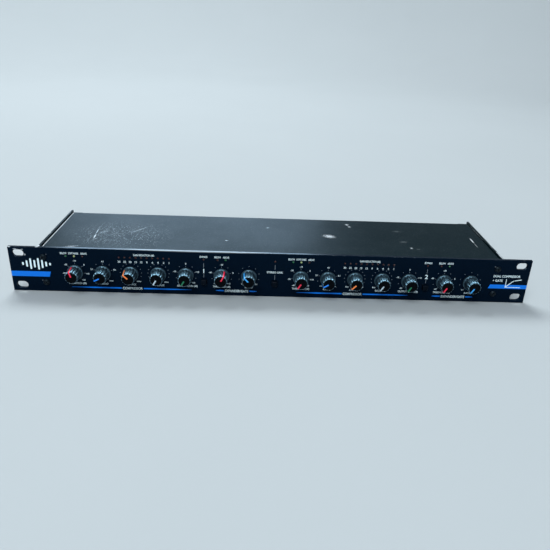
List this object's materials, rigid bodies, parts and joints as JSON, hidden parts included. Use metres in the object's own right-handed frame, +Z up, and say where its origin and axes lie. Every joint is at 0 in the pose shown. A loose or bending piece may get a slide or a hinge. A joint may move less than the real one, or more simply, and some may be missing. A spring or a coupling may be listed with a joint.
{
  "type": "rack compressor",
  "caption": "One-unit rack compressor and gate: slotted black panel, rows of fluted knobs with pointers, push buttons, small lamps, folded steel case and rear sockets.",
  "frame": {"origin": "middle of the four rack slots, on the panel's rear mounting face", "axes": "+X right seen from the front, +Y back into the rack, +Z up"},
  "size_m": [0.4826, 0.1252, 0.044],
  "materials": {
    "panel_black": "satin",
    "case_paint": "satin",
    "black_steel": "satin",
    "bright_steel": "satin",
    "brass_nickel": "satin",
    "nickel_plate": "polished",
    "knob_black": "matt",
    "button_black": "matt",
    "moulded_black": "matt",
    "moulded_grey": "matt",
    "board_green": "gloss",
    "pot_case": "matt",
    "lamp_red": "gloss",
    "lamp_green": "gloss",
    "lamp_yellow": "gloss",
    "core_iron": "matt",
    "coil_tape": "satin",
    "spacer_aluminium": "satin",
    "heatsink_aluminium": "satin",
    "capacitor_sleeve": "gloss",
    "fuse_glass": "gloss",
    "wire_sleeve": "satin"
  },
  "bodies": {
    "case": {"front_panel": "panel_black", "chassis_tray": "case_paint", "top_cover": "case_paint", "rear_panel": "panel_black", "front_panel_screws": "black_steel", "rear_panel_screws": "black_steel", "cover_screws": "black_steel", "main_board": "board_green", "board_standoffs": "brass_nickel", "board_screws": "bright_steel", "lamp_board": "board_green", "lamp_board_posts": "moulded_black", "pot_bodies": "pot_case", "button_switches": "moulded_grey", "red_lamps": "lamp_red", "green_lamps": "lamp_green", "yellow_lamps": "lamp_yellow", "input_jacks": "moulded_black", "output_jacks": "moulded_black", "sidechain_jacks": "moulded_black", "jack_nuts": "nickel_plate", "level_switches": "moulded_grey", "mains_inlet": "moulded_black", "inlet_pins": "nickel_plate", "inlet_screws": "black_steel", "rocker_frame": "moulded_black", "transformer_core": "core_iron", "transformer_coil": "coil_tape", "transformer_screws": "bright_steel", "transformer_spacers": "spacer_aluminium", "filter_capacitors": "capacitor_sleeve", "voltage_regulators": "moulded_black", "heatsink": "heatsink_aluminium", "chips": "moulded_black", "signal_capacitors": "capacitor_sleeve", "fuse": "fuse_glass", "fuse_clips": "nickel_plate", "mains_wires": "wire_sleeve", "secondary_wires": "wire_sleeve", "earth_stud": "brass_nickel"},
    "threshold_knob_1": {"knob_threshold_1": "knob_black"},
    "ratio_knob_1": {"knob_ratio_1": "knob_black"},
    "attack_knob_1": {"knob_attack_1": "knob_black"},
    "release_knob_1": {"knob_release_1": "knob_black"},
    "output_knob_1": {"knob_output_1": "knob_black"},
    "gate_threshold_knob_1": {"knob_gate_threshold_1": "knob_black"},
    "gate_ratio_knob_1": {"knob_gate_ratio_1": "knob_black"},
    "threshold_knob_2": {"knob_threshold_2": "knob_black"},
    "ratio_knob_2": {"knob_ratio_2": "knob_black"},
    "attack_knob_2": {"knob_attack_2": "knob_black"},
    "release_knob_2": {"knob_release_2": "knob_black"},
    "output_knob_2": {"knob_output_2": "knob_black"},
    "gate_threshold_knob_2": {"knob_gate_threshold_2": "knob_black"},
    "gate_ratio_knob_2": {"knob_gate_ratio_2": "knob_black"},
    "bypass_button_1_cap": {"bypass_button_1": "button_black"},
    "bypass_button_2_cap": {"bypass_button_2": "button_black"},
    "couple_button_cap": {"couple_button": "button_black"},
    "level_button_1_cap": {"level_button_1": "button_black"},
    "level_button_2_cap": {"level_button_2": "button_black"},
    "rocker": {"power_rocker": "button_black"}
  },
  "joints": [
    {"name": "threshold_turn_1", "type": "hinge", "parent": "case", "child": "threshold_knob_1", "pos_m": [-0.18215, -0.01035, -0.0012], "axis": [0, 1, 0], "range_deg": [-133, 167]},
    {"name": "ratio_turn_1", "type": "hinge", "parent": "case", "child": "ratio_knob_1", "pos_m": [-0.15675, -0.01035, -0.0012], "axis": [0, 1, 0], "range_deg": [-34, 266]},
    {"name": "attack_turn_1", "type": "hinge", "parent": "case", "child": "attack_knob_1", "pos_m": [-0.13135, -0.01035, -0.0012], "axis": [0, 1, 0], "range_deg": [-103, 197]},
    {"name": "release_turn_1", "type": "hinge", "parent": "case", "child": "release_knob_1", "pos_m": [-0.10595, -0.01035, -0.0012], "axis": [0, 1, 0], "range_deg": [0, 300]},
    {"name": "output_turn_1", "type": "hinge", "parent": "case", "child": "output_knob_1", "pos_m": [-0.08055, -0.01035, -0.0012], "axis": [0, 1, 0], "range_deg": [0, 300]},
    {"name": "gate_threshold_turn_1", "type": "hinge", "parent": "case", "child": "gate_threshold_knob_1", "pos_m": [-0.04755, -0.01035, -0.0012], "axis": [0, 1, 0], "range_deg": [-177, 123]},
    {"name": "gate_ratio_turn_1", "type": "hinge", "parent": "case", "child": "gate_ratio_knob_1", "pos_m": [-0.02215, -0.01035, -0.0012], "axis": [0, 1, 0], "range_deg": [-107, 193]},
    {"name": "threshold_turn_2", "type": "hinge", "parent": "case", "child": "threshold_knob_2", "pos_m": [0.02615, -0.01035, -0.0012], "axis": [0, 1, 0], "range_deg": [-2, 298]},
    {"name": "ratio_turn_2", "type": "hinge", "parent": "case", "child": "ratio_knob_2", "pos_m": [0.05155, -0.01035, -0.0012], "axis": [0, 1, 0], "range_deg": [-29, 271]},
    {"name": "attack_turn_2", "type": "hinge", "parent": "case", "child": "attack_knob_2", "pos_m": [0.07695, -0.01035, -0.0012], "axis": [0, 1, 0], "range_deg": [-15, 285]},
    {"name": "release_turn_2", "type": "hinge", "parent": "case", "child": "release_knob_2", "pos_m": [0.10235, -0.01035, -0.0012], "axis": [0, 1, 0], "range_deg": [-3, 297]},
    {"name": "output_turn_2", "type": "hinge", "parent": "case", "child": "output_knob_2", "pos_m": [0.12775, -0.01035, -0.0012], "axis": [0, 1, 0], "range_deg": [0, 300]},
    {"name": "gate_threshold_turn_2", "type": "hinge", "parent": "case", "child": "gate_threshold_knob_2", "pos_m": [0.16075, -0.01035, -0.0012], "axis": [0, 1, 0], "range_deg": [0, 300]},
    {"name": "gate_ratio_turn_2", "type": "hinge", "parent": "case", "child": "gate_ratio_knob_2", "pos_m": [0.18615, -0.01035, -0.0012], "axis": [0, 1, 0], "range_deg": [0, 300]},
    {"name": "bypass_button_1_press", "type": "slide", "parent": "case", "child": "bypass_button_1_cap", "axis": [0, 1, 0], "range_m": [0, 0.0022], "stiffness_N_per_m": 500, "springref_m": -0.002},
    {"name": "bypass_button_2_press", "type": "slide", "parent": "case", "child": "bypass_button_2_cap", "axis": [0, 1, 0], "range_m": [0, 0.0022], "stiffness_N_per_m": 500, "springref_m": -0.002},
    {"name": "couple_button_press", "type": "slide", "parent": "case", "child": "couple_button_cap", "axis": [0, 1, 0], "range_m": [0, 0.0022], "stiffness_N_per_m": 500, "springref_m": -0.002},
    {"name": "level_button_1_press", "type": "slide", "parent": "case", "child": "level_button_1_cap", "axis": [0, -1, 0], "range_m": [0, 0.0022], "stiffness_N_per_m": 500, "springref_m": -0.002},
    {"name": "level_button_2_press", "type": "slide", "parent": "case", "child": "level_button_2_cap", "axis": [0, -1, 0], "range_m": [0, 0.0022], "stiffness_N_per_m": 500, "springref_m": -0.002},
    {"name": "power_rocker_tilt", "type": "hinge", "parent": "case", "child": "rocker", "pos_m": [0.186, 0.101, -0.001], "axis": [1, 0, 0], "range_deg": [-24, 0]}
  ]
}
